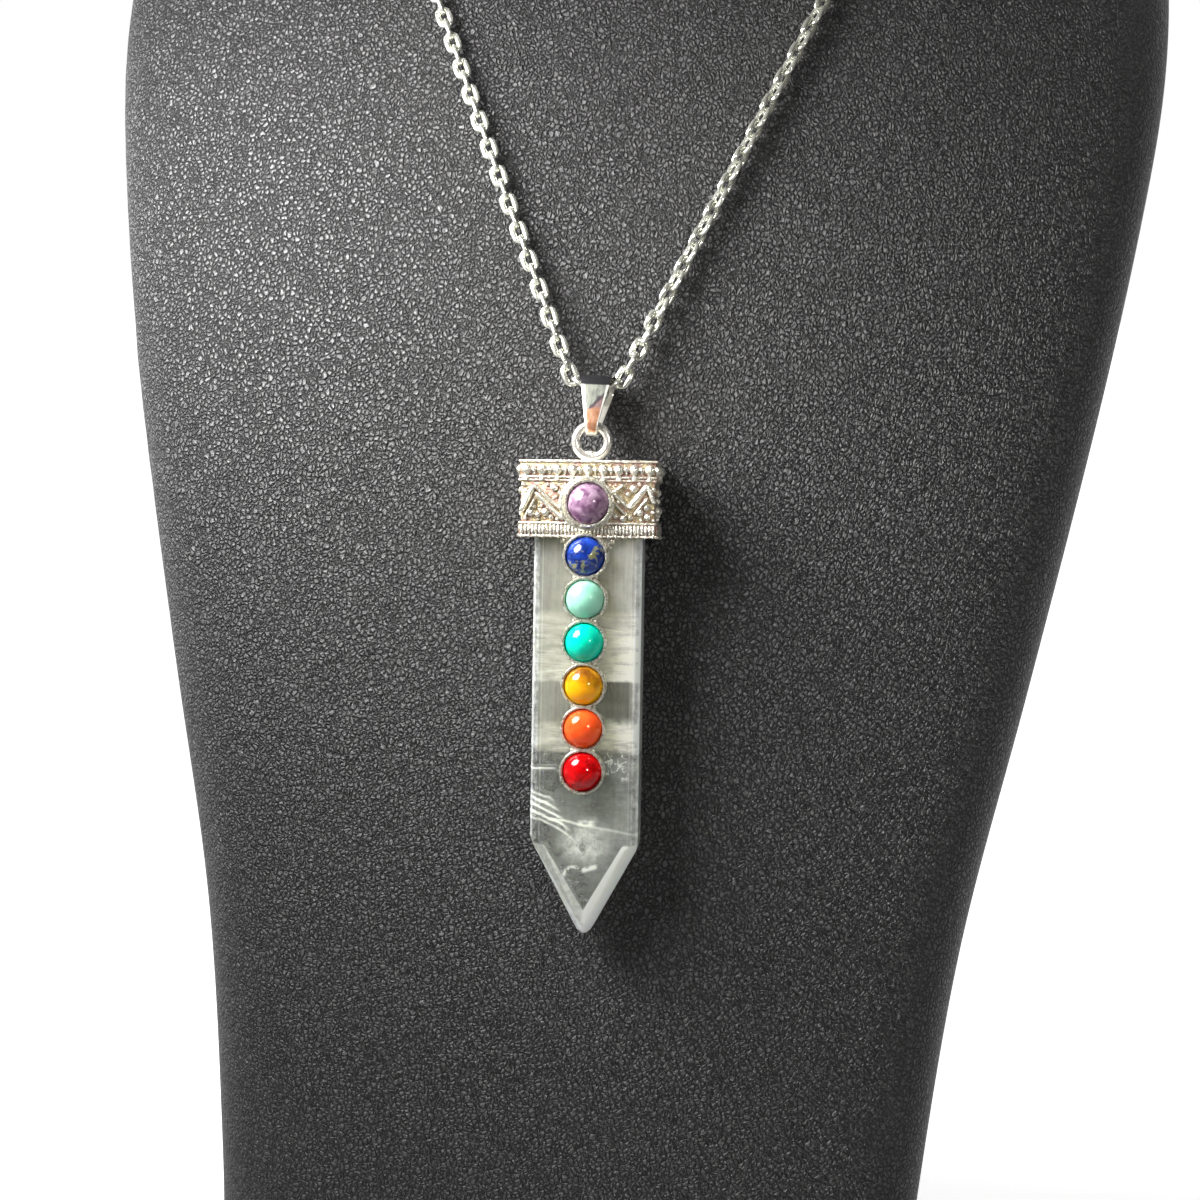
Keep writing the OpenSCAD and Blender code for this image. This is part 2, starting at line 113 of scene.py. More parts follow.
class Finish:
    """A procedural material, or the room's light, built node by node."""

    def __init__(self, name, kind="Material"):
        self.kind = kind
        self.owner = (bpy.data.materials if kind == "Material" else bpy.data.worlds).new(name)
        self.owner.use_nodes = True
        self.tree = self.owner.node_tree
        self.tree.nodes.clear()

    def add(self, kind, settings=None, sockets=None, out=0):
        """Adds a node: its settings first, a ramp's stops among them, then the values or flows of its sockets."""
        node = self.tree.nodes.new(kind)
        for key, value in (settings or {}).items():
            if key == "stops":
                while len(node.color_ramp.elements) < len(value):
                    node.color_ramp.elements.new(0.5)
                for element, (place, colour) in zip(node.color_ramp.elements, value):
                    element.position, element.color = place, (*colour, 1)
            else:
                setattr(node, key, value)
        for key, value in (sockets or {}).items():
            socket = node.inputs[key]
            if isinstance(value, Flow):
                self.tree.links.new(value.socket, socket)
            elif isinstance(value, tuple) and len(value) == 3 and socket.type == "RGBA":
                socket.default_value = (*value, 1)
            else:
                socket.default_value = value
        return Flow(self, node.outputs[out]) if len(node.outputs) else None

    def place(self, hung=False, stretch=(1, 1, 1)):
        """Where the surface is, in mm: in the part's frame, or in the pendant's own frame."""
        spot = self.add("ShaderNodeTexCoord", out="Object")
        if hung:
            spot = self.add("ShaderNodeMapping", {"vector_type": "TEXTURE"},
                            {"Vector": spot, "Location": tuple(RING_AXIS), "Rotation": tuple(HANG.to_euler())})
        return self.add("ShaderNodeVectorMath", {"operation": "MULTIPLY"},
                        {0: spot, 1: tuple(1000 * s for s in stretch)})

    def along(self, place, axis):
        return self.add("ShaderNodeSeparateXYZ", None, {0: place}, out=axis)

    def noise(self, place, scale, detail=2.0, rough=0.5, twist=0.0):
        return self.add("ShaderNodeTexNoise", None, {"Vector": place, "Scale": scale, "Detail": detail,
                                                     "Roughness": rough, "Distortion": twist})

    def cells(self, place, scale):
        """How far the place is from the edge of its cell."""
        return self.add("ShaderNodeTexVoronoi", {"feature": "DISTANCE_TO_EDGE"},
                        {"Vector": place, "Scale": scale, "Randomness": 1.0}, out="Distance")

    def drift(self, place, scale, by):
        """The place, pushed about by a soft noise."""
        push = self.add("ShaderNodeTexNoise", None, {"Vector": place, "Scale": scale, "Detail": 1.0}, out="Color")
        push = self.add("ShaderNodeVectorMath", {"operation": "SUBTRACT"}, {0: push, 1: (0.5, 0.5, 0.5)})
        push = self.add("ShaderNodeVectorMath", {"operation": "SCALE"}, {0: push, "Scale": by})
        return self.add("ShaderNodeVectorMath", {"operation": "ADD"}, {0: place, 1: push})

    def tint(self, share, low, high):
        """A colour between two colours or colour flows."""
        return self.add("ShaderNodeMix", {"data_type": "RGBA"}, {0: share, 6: low, 7: high}, out=2)

    def ramp(self, value, *stops):
        """A number read off a line through the stops, each a place and its value."""
        greys = [(place, (level,) * 3) for place, level in stops]
        return self.add("ShaderNodeValToRGB", {"stops": greys}, {0: value})

    def bump(self, height, depth_mm, strength=1.0):
        return self.add("ShaderNodeBump", None, {"Height": height, "Distance": depth_mm * MM, "Strength": strength})

    def surface(self, **sockets):
        """The shader itself. Words stand for its sockets, with spaces where the words have underscores."""
        names = {key.replace("_", " "): value for key, value in sockets.items()}
        return self.add("ShaderNodeBsdfPrincipled", None, names)

    def done(self, shader):
        self.add("ShaderNodeOutput" + self.kind, None, {"Surface": shader})
        return self.owner


def leatherette():
    """Black pebbled leatherette: small uneven pebbles with narrow creases and finer wrinkles on them; the creases are
    painted darker as shade.
    """
    f = Finish("black_leatherette")
    spot = f.place(stretch=(1.0, 1.0, 0.85))
    loose = f.drift(f.drift(spot, 0.9, 0.7), 3.4, 0.32)
    pebble = (f.cells(loose, 1.65) * 3.6).below(1.0)
    wrinkles = f.noise(loose, 3.0, 2, 0.6)
    dents = f.noise(spot, 0.5, 2)
    height = pebble * (0.75 + dents * 0.5) + wrinkles * 0.5 + dents * 0.4
    return f.done(f.surface(
        # Painted shade: the creases are darker than the pebble tops.
        Base_Color=f.tint(pebble.step(0.1, 0.75), (0.007, 0.007, 0.0072), (0.068, 0.068, 0.069)),
        Roughness=0.5 - pebble * 0.06,
        Specular_IOR_Level=0.6,
        Normal=f.bump(height, 0.5)))


def felt():
    """Black felt under the base."""
    f = Finish("black_felt")
    fluff = f.noise(f.place(), 6, 4, 0.7)
    return f.done(f.surface(Base_Color=f.tint(fluff, (0.006, 0.006, 0.006), (0.03, 0.03, 0.032)),
                            Roughness=0.95, Sheen_Weight=0.3, Normal=f.bump(fluff, 0.3, 0.8)))


def silver(name, glow, soft, wear, shine):
    """Plated silver with faint waves and hairline marks."""
    f = Finish(name)
    waves = f.noise(f.place(), 0.8, 2)
    marks = f.noise(f.place(stretch=(1, 1, 6)), 2.0, 3, 0.7)
    return f.done(f.surface(
        Base_Color=f.tint(waves.step(0.3, 0.7), tuple(0.88 * c for c in glow), glow),
        Metallic=shine,
        Roughness=soft + marks.step(0.45, 0.8) * 0.12,
        Normal=f.bump(waves + marks * 0.15, wear, 0.5)))


def bail_painted_reflections():
    """The bail's silver, with reflections painted into its colour: a painted dark reflection over the fold, a painted
    bright reflection at the upper left, a painted dark slant, then rosy and coppery painted reflections further down,
    and bright painted highlights on the edges and the lowest tip.
    """
    f = Finish("bail_painted_reflections")
    spot = f.place()
    low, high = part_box("bail")
    x, y, z = (f.along(spot, axis) for axis in "XYZ")
    up = (z - low.z / MM) / ((high.z - low.z) / MM)
    smear = f.noise(f.drift(f.place(stretch=(2.2, 1, 0.8)), 0.9, 1.0), 0.9, 4, 0.65) - 0.5
    # The front of the loop lies before the plane through its two hinges. Half is half the strip's width there.
    hinge, tip = (Vector(joint["pos_m"]) / MM for joint in frame["joints"])
    front = (y - hinge.y - (z - hinge.z) * ((tip.y - hinge.y) / (tip.z - hinge.z))).step(0.25, -0.25)
    half = up * 1.2 + 0.72
    slant = x - up * 7.0 + 3.75 + smear * 0.9
    reflection_mottle = (smear * 2.4 + 0.5).above(0.0).below(1.0)
    # Painted reflections: coppery and rosy tones below, a pale bright one at the upper left, mottled by the smear.
    painted_copper_reflection = f.tint(reflection_mottle, (0.42, 0.17, 0.08), (0.7, 0.4, 0.26))
    painted_rose_reflection = f.tint(reflection_mottle, (0.2, 0.11, 0.12), (0.45, 0.32, 0.3))
    lower = f.tint((up + smear * 0.2).step(0.44, 0.52), painted_copper_reflection, painted_rose_reflection)
    pale = f.tint((smear * 2.6 + 0.55 + slant * 0.12).above(0.0).below(1.0), (0.46, 0.48, 0.4), (0.2, 0.21, 0.2))
    painted_leaf_reflections = f.tint(slant.step(-0.25, 0.2), pale, lower)
    # A painted dark reflection along the slant.
    painted_dark_streak = (slant - 0.1).size().step(0.42, 0.12) * up.step(0.42, 0.5) * (0.75 + smear)
    painted_leaf_reflections = f.tint(painted_dark_streak, painted_leaf_reflections, (0.05, 0.05, 0.07))
    # Painted highlights along both edges of the front.
    painted_leaf_reflections = f.tint((half - x).step(0.3, 0.18).above((half + x).step(0.5, 0.3)), painted_leaf_reflections, (0.9, 0.9, 0.82))
    # A painted dark reflection across the top band over the fold.
    painted_leaf_reflections = f.tint(up.step(0.845, 0.865), painted_leaf_reflections, (0.035, 0.035, 0.038))
    # A painted highlight at the lowest tip.
    painted_leaf_reflections = f.tint(up.step(0.075, 0.05), painted_leaf_reflections, (0.9, 0.88, 0.8))
    return f.done(f.surface(Base_Color=f.tint(front, (0.93, 0.92, 0.84), painted_leaf_reflections), Metallic=0.55,
                            Roughness=0.22 + smear * 0.1, Normal=f.bump(smear, 0.05, 0.5)))


def bezel_silver():
    """The soft bright silver of the bezel cups: brushed by handling, a little warm."""
    f = Finish("bezel_silver")
    rub = f.noise(f.place(hung=True), 1.6, 4, 0.65)
    return f.done(f.surface(
        Base_Color=f.tint(rub.step(0.35, 0.6), (0.56, 0.53, 0.41), (0.84, 0.82, 0.73)),
        Metallic=0.8, Roughness=0.2 + rub * 0.15, Normal=f.bump(rub, 0.14, 0.8)))


def cast_silver():
    """The cap's silver: painted lighter and creamier on what is raised as highlight, and painted darker in the
    recesses as shade, tinted from rosy to mossy brown.
    """
    f = Finish("cast_silver")
    spot = f.place(hung=True)
    out = f.along(spot, "Y") * -1.0
    side = f.along(spot, "X").size()
    raised = (out.step(4.08, 4.42)).above(side.step(8.84, 9.12))
    grit = f.noise(spot, 3.2, 3, 0.6)
    recess_mottle = f.noise(spot, 0.9, 2)
    # Painted shade: the recesses near the cap's front wall are darker and tinted from rosy to mossy brown; the back
    # and the ends stay paler.
    low = f.tint(recess_mottle.step(0.38, 0.62), (0.36, 0.2, 0.16), (0.44, 0.36, 0.2))
    low = f.tint(out.step(2.6, 3.4), (0.74, 0.71, 0.62), low)
    return f.done(f.surface(
        # Painted highlight: what is raised is lighter and creamier.
        Base_Color=f.tint((raised * (0.6 + grit) + grit.step(0.5, 0.66) * 0.6).below(1.0), low, (0.88, 0.86, 0.76)),
        Metallic=0.8,
        Roughness=0.3 - raised * 0.1 + grit * 0.1,
        Normal=f.bump(grit, 0.22, 0.8)))


def quartz():
    """Clear quartz with milky bands, fine streaks, slanting wisps, a healed crack and a clouded point, and highlights
    painted on its facets and rims.
    """
    f = Finish("quartz")
    spot = f.place(hung=True)
    x, z = f.along(spot, "X"), f.along(spot, "Z")
    wander = f.noise(spot, 0.5, 3, 0.6) - 0.5
    clouds = f.noise(spot, 0.3, 4, 0.6, 0.3)
    grain = f.noise(f.drift(spot, 1.2, 0.6), 1.1, 5, 0.7)
    level = f.noise(f.drift(f.place(hung=True, stretch=(0.2, 0.3, 1.3)), 0.7, 0.9), 1.3, 4, 0.65, 0.4)
    upright = f.noise(f.place(hung=True, stretch=(1.6, 0.6, 0.09)), 1.1, 3, 0.6)

    def near(value, far, close):
        """1 where the value is within close of zero, 0 past far."""
        return value.size().step(far, close)

    # Bands down the bar: how milky, and how far the streaks lie level.
    down = ((z + wander * 0.8) * -1.0 - 14.0) / 52.5
    body = f.ramp(down, (0.0, 0.4), (0.188, 0.36), (0.2, 0.5), (0.21, 0.56), (0.3, 0.62), (0.345, 0.8),
                  (0.357, 0.78), (0.366, 0.34), (0.462, 0.36), (0.474, 0.7), (0.53, 0.66), (0.54, 0.25),
                  (0.62, 0.24), (0.72, 0.24), (0.74, 0.26), (0.84, 0.2), (0.93, 0.12), (1.0, 0.3))
    banded = f.ramp(down, (0.0, 0.0), (0.19, 0.05), (0.205, 1.0), (0.358, 1.0), (0.366, 0.0), (0.462, 0.0),
                    (0.474, 1.0), (0.535, 1.0), (0.545, 0.45), (1.0, 0.45))
    streaks = 0.25 + banded * (level - 0.5) * 2.1 + (1.0 - banded) * (upright - 0.5) * 1.2
    milk_and_painted_light = body * (streaks + clouds * 0.9 + grain * 0.55)
    # A clear pane at the right between two bands, and painted shade towards the left: less milkiness where the lamp is
    # near.
    torn = f.noise(f.drift(spot, 1.0, 1.0), 0.8, 3) - 0.5
    pane = (x + torn).step(0.6, 2.0) * (z + 33.05).step(0.1, -0.15)
    pane = pane * (z + torn * 3.0).step(-39.0, -37.6) * (x + torn * 0.6).step(6.3, 5.7)
    milk_and_painted_light = milk_and_painted_light * (1.0 - pane * 0.6) * (0.74 + x * 0.062) * (z.step(-42.0, -41.0) + 0.5 + grain).below(1.25)

    # The long facets, the rims and the bevels of the point, by the distance from the bar's side edge. Their added
    # whiteness is painted highlight, most on the point's right bevel.
    edge = (z - TIP).below(SHOULDER - TIP) * (QUARTZ_W / 2 / (SHOULDER - TIP)) - x.size()
    right_side = x.step(-0.5, 0.5)
    point = z.step(SHOULDER + 0.3, SHOULDER - 0.3)
    facet = edge.step(0.95, 0.8) * (1.0 - point) + edge.step(2.0, 1.75) * point
    rim = edge.step(0.42, 0.15) + (z - TIP).step(1.0, 0.3)
    inner_line = near(edge - 1.25, 0.14, 0.04) * (1.0 - point) * (0.3 + upright)
    # Painted highlights on the facets, the rims and the inner lines.
    milk_and_painted_light = milk_and_painted_light + facet * (0.06 + point * 0.4 + right_side * (point * 0.62 + 0.06) + (grain - 0.5) * 0.9)
    milk_and_painted_light = milk_and_painted_light + rim * 0.26 + inner_line * 0.12

    # Wisps that sweep down from the left edge, the crack under them and the short line above.
    inward = x + 6.6
    sweep = z + inward * 0.28 + inward * inward * 0.045 + wander * 0.9
    wisps = (sweep * 7.4 + grain * 0.8).sine().step(-0.4, 0.9) * (0.2 + clouds * 1.3) + grain.step(0.3, 0.7) * 0.3
    wisps = wisps * (inward + sweep * 0.8).step(-34.7, -36.4) * near(sweep + 49.1, 2.1, 1.4)
    crack = near(z + x * 0.17 + 51.6 + wander * 0.5, 0.28, 0.05)
    crack = crack * x.step(-4.8, -3.5) * (1.0 - x.step(-2.0, 3.0) * 0.5)
    line = near(z + 44.4 + wander * 0.3, 0.2, 0.04) * x.step(-3.2, -4.2)

    # The cloud in the point, and ragged white marks: a tuft, an arch, a fringe and curls by the last stone.
    smoke = f.noise(f.drift(spot, 0.8, 1.6), 0.6, 5, 0.75) - 0.34
    haze = smoke.above(0.0) * 1.6 * ((x * x * 0.55 + (z + 54.2) * (z + 54.2)) ** 0.5).step(3.4, 0.6)
    tuft = near(z + 51.6 - grain * 0.4, 0.55, 0.1) * near(x - 0.4, 1.5, 0.5) * grain.step(0.3, 0.55)
    arch = near(((x + 1.3) * (x + 1.3) + (z + 58.4) * (z + 58.4)) ** 0.5 - 1.3 + (grain - 0.5) * 1.4, 0.3, 0.05)
    arch = arch * z.step(-58.9, -58.0) * x.step(0.0, -0.5) * grain.step(0.38, 0.55)
    fringe = near(z + 57.7 - x * 0.3 - grain * 0.3, 0.5, 0.1) * near(x - 0.8, 1.2, 0.7) * grain.step(0.35, 0.55)
    curls = near(f.noise(f.drift(spot, 0.9, 1.2), 0.8, 3) - 0.5, 0.04, 0.004) * 0.8
    curls = curls * near(z + 43.9, 2.2, 1.4) * near(x - 4.1, 1.8, 1.2) * grain.step(0.4, 0.55)
    marks = curls.above(tuft).above(arch).above(fringe)
    specks = f.noise(spot, 3.4, 3, 0.7).step(0.66, 0.76) * clouds.step(0.45, 0.6)
    milk_and_painted_light = milk_and_painted_light + wisps * 0.7 + crack * 0.55 + line * 0.45 + haze * 1.5 + marks * 0.75 + specks * 0.25
    milk_and_painted_light = milk_and_painted_light.above(0.04).below(0.96)

    cool = (rim + facet * 0.6 + haze * 0.6).below(1.0).above(z.step(-41.5, -44.0) * 0.6)
    skin = f.tint(cool, (0.88, 0.89, 0.74), (0.84, 0.92, 0.86))
    clear = f.surface(Base_Color=(0.95, 0.97, 0.95), Transmission_Weight=1.0, IOR=1.46, Roughness=0.02)
    veil = f.surface(Base_Color=skin, Roughness=0.2, Subsurface_Weight=1.0, Subsurface_Radius=(1.0, 1.0, 0.9),
                     Subsurface_Scale=5.0 * MM, IOR=1.46, Coat_Weight=0.5, Coat_Roughness=0.03)
    return f.done(f.add("ShaderNodeMixShader", None, {0: milk_and_painted_light, 1: clear, 2: veil}))


def veils():
    """Thin clouded sheets inside the quartz: broken milky skins that fade out."""
    f = Finish("quartz_veils")
    spot = f.place(hung=True)
    flakes = f.noise(f.drift(spot, 0.6, 1.2), 0.9, 5, 0.7, 0.6)
    lines = f.noise(f.place(hung=True, stretch=(0.3, 1, 2.2)), 1.2, 3, 0.6, 0.5)
    thick = (flakes.step(0.42, 0.78) * 0.75 + lines.step(0.55, 0.75) * 0.35).below(0.85)
    return f.done(f.surface(Base_Color=(0.85, 0.88, 0.85), Roughness=0.35, Alpha=thick))


def gem(name, dark, light, swirl, flecks=None, through=0.0, foot_glow_painted=None, fine=0.55):
    """A polished domed stone: two tones that drift into each other, and where it has them, flecks and a painted glow
    at its foot, as of light coming through.
    """
    f = Finish(name)
    spot = f.drift(f.place(hung=True), 0.5, swirl)
    tone = f.noise(spot, fine, 4, 0.6, 0.3).step(0.3, 0.72)
    colour = f.tint(tone, dark, light)
    if flecks:
        grains = f.noise(f.drift(spot, 1.0, 0.6), 0.75, 4, 0.7)
        colour = f.tint(grains.step(flecks[1], flecks[1] + 0.1), colour, flecks[0])
    # Painted light: the stone's foot is lighter, as where light comes through it.
    if foot_glow_painted:
        low, high, glow = foot_glow_painted
        colour = f.tint(f.along(spot, "Z").step(low, high), colour, glow)
    return f.done(f.surface(Base_Color=colour, Roughness=0.3, Coat_Weight=1.0, Coat_Roughness=0.05,
                            Specular_IOR_Level=0.0, Subsurface_Weight=0.78, Subsurface_Radius=(1.0, 1.0, 1.0),
                            Subsurface_Scale=(1.0 + 3.0 * through) * MM, IOR=1.5,
                            Normal=f.bump(f.noise(spot, 1.2, 2), 0.02, 0.3)))


def paper():
    """The pale floor."""
    f = Finish("pale_floor")
    spot = f.place()
    tooth = f.noise(spot, 0.02, 3)
    seen = f.add("ShaderNodeLightPath", out="Is Camera Ray")
    lit = f.along(spot, "Y").step(-60.0, 60.0).above(seen * 0.8)
    return f.done(f.surface(Base_Color=f.tint(tooth, (0.8, 0.8, 0.81), (0.84, 0.84, 0.84)), Roughness=0.9,
                            Emission_Color=f.tint(lit, (0.0, 0.0, 0.0), (1.0, 1.0, 1.0)), Emission_Strength=0.9))


# ---------------------------------------------------------------- making pieces

def begin(add, name, **place):
    """Adds a primitive with nothing else picked."""
    bpy.ops.object.select_all(action="DESELECT")
    add(**place)
    piece = bpy.context.object
    piece.name = piece.data.name = name
    return piece


def pick_only(*pieces):
    bpy.ops.object.select_all(action="DESELECT")
    for piece in pieces:
        piece.select_set(True)
    bpy.context.view_layer.objects.active = pieces[0]


def edit(piece):
    pick_only(piece)
    bpy.ops.object.mode_set(mode="EDIT")


def leave():
    bpy.ops.object.mode_set(mode="OBJECT")


def pick(piece, kind, test):
    """In edit mode, selects the vertices or the faces whose middle passes the test."""
    bpy.context.tool_settings.mesh_select_mode = (kind == "verts", False, kind == "faces")
    mesh = bmesh.from_edit_mesh(piece.data)
    for group in (mesh.verts, mesh.edges, mesh.faces):
        for part in group:
            part.select = False
    for part in getattr(mesh, kind):
        spot = part.co if kind == "verts" else part.calc_center_median()
        part.select = bool(test(spot, part))
    mesh.select_mode = {kind[:-1].upper()}
    mesh.select_flush_mode()
    bmesh.update_edit_mesh(piece.data)


def tidy(piece, angle):
    """Merges doubles, turns every face outward and smooths the shading, sharp past the angle."""
    edit(piece)
    bpy.ops.mesh.select_all(action="SELECT")
    bpy.ops.mesh.remove_doubles(threshold=1e-7)
    bpy.ops.mesh.normals_make_consistent(inside=False)
    leave()
    shade(piece, angle)
    return piece


def shade(piece, angle=None):
    pick_only(piece)
    if angle:
        bpy.ops.object.shade_smooth_by_angle(angle=math.radians(angle))
    else:
        bpy.ops.object.shade_smooth()


def modify(piece, kind, **settings):
    """Adds a modifier and applies it."""
    pick_only(piece)
    modifier = piece.modifiers.new(kind.lower(), kind)
    for key, value in settings.items():
        setattr(modifier, key, value)
    bpy.ops.object.modifier_apply(modifier=modifier.name)
    return piece


def soften(piece, width, angle):
    """Rounds the edges that turn by more than the angle, by a width in mm."""
    return modify(piece, "BEVEL", width=width * MM, segments=2, limit_method="ANGLE", angle_limit=math.radians(angle))


def resize_where(piece, test, by, about=(0, 0, 0)):
    """In edit mode, scales the vertices that pass the test, about a place in mm."""
    pick(piece, "verts", test)
    bpy.ops.transform.resize(value=by, center_override=[v * MM for v in about])


def push_where(piece, test, by):
    """In edit mode, moves the vertices that pass the test, in mm."""
    pick(piece, "verts", test)
    bpy.ops.transform.translate(value=[v * MM for v in by])


def ball(name, segments, rings, radius):
    """A ball in mm, left in edit mode."""
    piece = begin(bpy.ops.mesh.primitive_uv_sphere_add, name, segments=segments, ring_count=rings, radius=radius * MM)
    edit(piece)
    return piece


def hoop(name, segments, rows, bend, thick, upright=True, down=0.0):
    """A ring of round wire in mm, upright or lying flat: its bend and its wire as radii, and how far down it lies."""
    turn = (math.pi / 2, 0, 0) if upright else (0, 0, 0)
    piece = begin(bpy.ops.mesh.primitive_torus_add, name, major_segments=segments, minor_segments=rows,
                  major_radius=bend * MM, minor_radius=thick * MM, rotation=turn, location=(0, 0, -down * MM))
    bpy.ops.object.transform_apply(location=True, rotation=True, scale=False)
    return piece


def copy_of(source, name):
    """A copy with a mesh of its own, free of its parent and of any marks on it."""
    piece = source.copy()
    piece.data = source.data.copy()
    piece.name = piece.data.name = name
    piece.parent = None
    for key in list(piece.keys()):
        del piece[key]
    bpy.context.scene.collection.objects.link(piece)
    return piece


def many(template, places, name):
    """Copies a template to each place, a matrix, and joins the copies to one piece. The template is removed."""
    copies = []
    for place in places:
        one = copy_of(template, name + "_one")
        one.data.transform(place)
        if place.determinant() < 0:
            one.data.flip_normals()
        copies.append(one)
    pick_only(*copies)
    if len(copies) > 1:
        bpy.ops.object.join()
    piece = bpy.context.object
    piece.name = piece.data.name = name
    bpy.data.objects.remove(template)
    return piece


def joined(name, *pieces):
    pick_only(*pieces)
    bpy.ops.object.join()
    pieces[0].name = pieces[0].data.name = name
    return pieces[0]


def lofted(name, rings):
    """A closed skin through rings of points, drawn out ring by ring from a flat face."""
    piece = begin(bpy.ops.mesh.primitive_circle_add, name, vertices=len(rings[0]), radius=MM, fill_type="NGON")
    edit(piece)
    for index, ring in enumerate(rings):
        if index:
            bpy.ops.mesh.extrude_region_move()
        mesh = bmesh.from_edit_mesh(piece.data)
        face = [f for f in mesh.faces if f.select][0]
        for corner, point in zip(face.verts, ring):
            corner.co = point
        bmesh.update_edit_mesh(piece.data)
    leave()
    return tidy(piece, 40)


def turned(name, profile, count, spot=lambda across, high, out: (across, -out, high)):
    """A closed body through circles, each a radius and how far out it lies in mm, along -Y unless spot says else."""
    turns = [k * math.tau / count for k in range(count)]
    return lofted(name, [[Vector(spot(r * math.cos(a), r * math.sin(a), h)) * MM for a in turns] for r, h in profile])


def hang(piece):
    """Puts a piece that was made in the pendant's own frame where the pendant hangs."""
    piece.data.transform(HANG)
    return piece


def wear(piece, body, slot, *materials, replaces=()):
    """Gives a piece its finish and its body, and hides the nodes it stands for. The slot is not used."""
    piece.data.materials.clear()
    for material in materials:
        piece.data.materials.append(material)
    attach(piece, body)
    if replaces:
        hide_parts(*replaces)
    return piece


def at(x, y, z, turn=None, grow=1.0):
    """A place in mm, with a turn and a size."""
    spot = Matrix.Translation(Vector((x, y, z)) * MM)
    if turn is not None:
        spot = spot @ turn
    return spot @ Matrix.Scale(grow, 4)


def rx(angle): return Matrix.Rotation(math.radians(angle), 4, "X")
def ry(angle): return Matrix.Rotation(math.radians(angle), 4, "Y")
def rz(angle): return Matrix.Rotation(math.radians(angle), 4, "Z")


# ---------------------------------------------------------------- the pieces

def make_bust():
    """The bust, from the frame's own, smoothed: leatherette all over, felt under its base."""
    bust = copy_of(frame["nodes"]["bust"], "leather_bust")
    edit(bust)
    bpy.ops.mesh.select_all(action="SELECT")
    bpy.ops.mesh.remove_doubles(threshold=1e-6)
    bpy.ops.mesh.tris_convert_to_quads()
    bpy.ops.mesh.customdata_custom_splitnormals_clear()
    leave()
    modify(bust, "SUBSURF", levels=2, render_levels=2)
    shade(bust)
    wear(bust, "bust_and_chain", "leatherette", leatherette(), felt(), replaces=("bust",))
    for face in bust.data.polygons:
        face.material_index = 1 if face.normal.z < -0.9 and face.center.z < 0.5 * MM else 0
    return bust


def link_places():
    """Where each link lies, by its width, its thin way, its long way and its middle: the frame's, and two more."""
    data = frame["nodes"]["chain"].data
    points = np.empty(len(data.vertices) * 3)
    data.vertices.foreach_get("co", points)
    places = []
    for one in np.split(points.reshape(-1, 3), LINKS):
        middle = (one.min(0) + one.max(0)) / 2
        ways = np.linalg.svd(one - one.mean(0), full_matrices=False)[2]
        long, wide = ways[0], ways[1]
        thin = np.cross(long, wide)
        # The half width each way from the mean gives the true middle of a link of two equal halves.
        for way in (long, wide, thin):
            reach = (one - middle) @ way
            middle = middle + way * (reach.min() + reach.max()) / 2
        rows = np.column_stack((wide, -thin, long, middle))
        places.append(Matrix([[*row] for row in rows] + [[0, 0, 0, 1]]))
    return places + [clasp_link(places, side) for side in (-1, 1)]


def clasp_link(places, side):
    """The link that joins a strand's last link to the clasp's eye, square to both."""
    low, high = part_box("clasp")
    middle = (low + high) / 2
    ends = [p for p in places if (p.translation.x - middle.x) * side > 0 and p.translation.y > 0]
    last, before = sorted(ends, key=lambda p: (p.translation - middle).length)[:2]
    start = last.translation + (last.translation - before.translation) / 2
    stop = middle + Vector((side * EYE_JOINT * MM, 0, 0))
    long = (stop - start).normalized()
    thin = last.col[0].to_3d()
    thin = (thin - long * thin.dot(long)).normalized()
    wide = thin.cross(long)
    rows = [(wide[k], thin[k], long[k], (start[k] + stop[k]) / 2) for k in range(3)]
    return Matrix(rows + [(0, 0, 0, 1)])


def make_chain(finish):
    """One oval link, its wire a little broader along the sides, copied to every place that link_places gives."""
    link = hoop("link", 16, 7, LINK_BEND, LINK_WIRE)
    edit(link)
    for way in (1, -1):
        push_where(link, lambda p, v: p.z * way > 0.05 * MM, (0, 0, way * 0.503))
    for way in (1, -1):
        resize_where(link, lambda p, v: p.x * way > 0 and abs(p.z) < 0.86 * MM, (1.4, 1.12, 1.0), (way * 1.2, 0, 0))
    leave()
    shade(link)
    chain = many(link, link_places(), "link_chain")
    return wear(chain, "bust_and_chain", "silver", finish, replaces=("chain",))


def make_clasp(finish):
    """Barrel clasp at the nape: grooved barrel, necked ends, an eye at each, a quarter turn from the frame's."""
    low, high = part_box("clasp")
    middle = (low + high) / 2
    data = frame["nodes"]["clasp"].data
    eye = np.array([v.co for v in data.vertices if v.co.x - middle.x > (EYE_AT + 0.4) * MM])
    flat = np.linalg.svd(eye - eye.mean(0), full_matrices=False)[2][2]
    half = [(0.45, 3.75), (0.75, 3.6), (1.0, 3.45), (1.22, 3.2), (1.3, 2.9), (1.3, 2.7), (1.2, 2.6), (1.2, 2.45),
            (1.3, 2.35), (1.3, 0.25), (1.18, 0.15)]
    profile = [(r, -x) for r, x in half] + half[::-1]
    barrel = turned("barrel", profile, 28, lambda across, high, out: (out, across, high))
    loop = hoop("eye", 28, 10, LINK_BEND, LINK_WIRE, upright=False)
    eyes = many(loop, [at(x, 0, 0) for x in (-EYE_AT, EYE_AT)], "eyes")
    clasp = joined("barrel_clasp", barrel, eyes)
    normal = Vector(flat).cross(Vector((1, 0, 0))).normalized()
    turn = Matrix((Vector((1, 0, 0)), normal.cross(Vector((1, 0, 0))), normal)).transposed().to_4x4()
    clasp.data.transform(Matrix.Translation(middle) @ turn)
    tidy(clasp, 40)
    return wear(clasp, "bust_and_chain", "silver", finish, replaces=("clasp",))


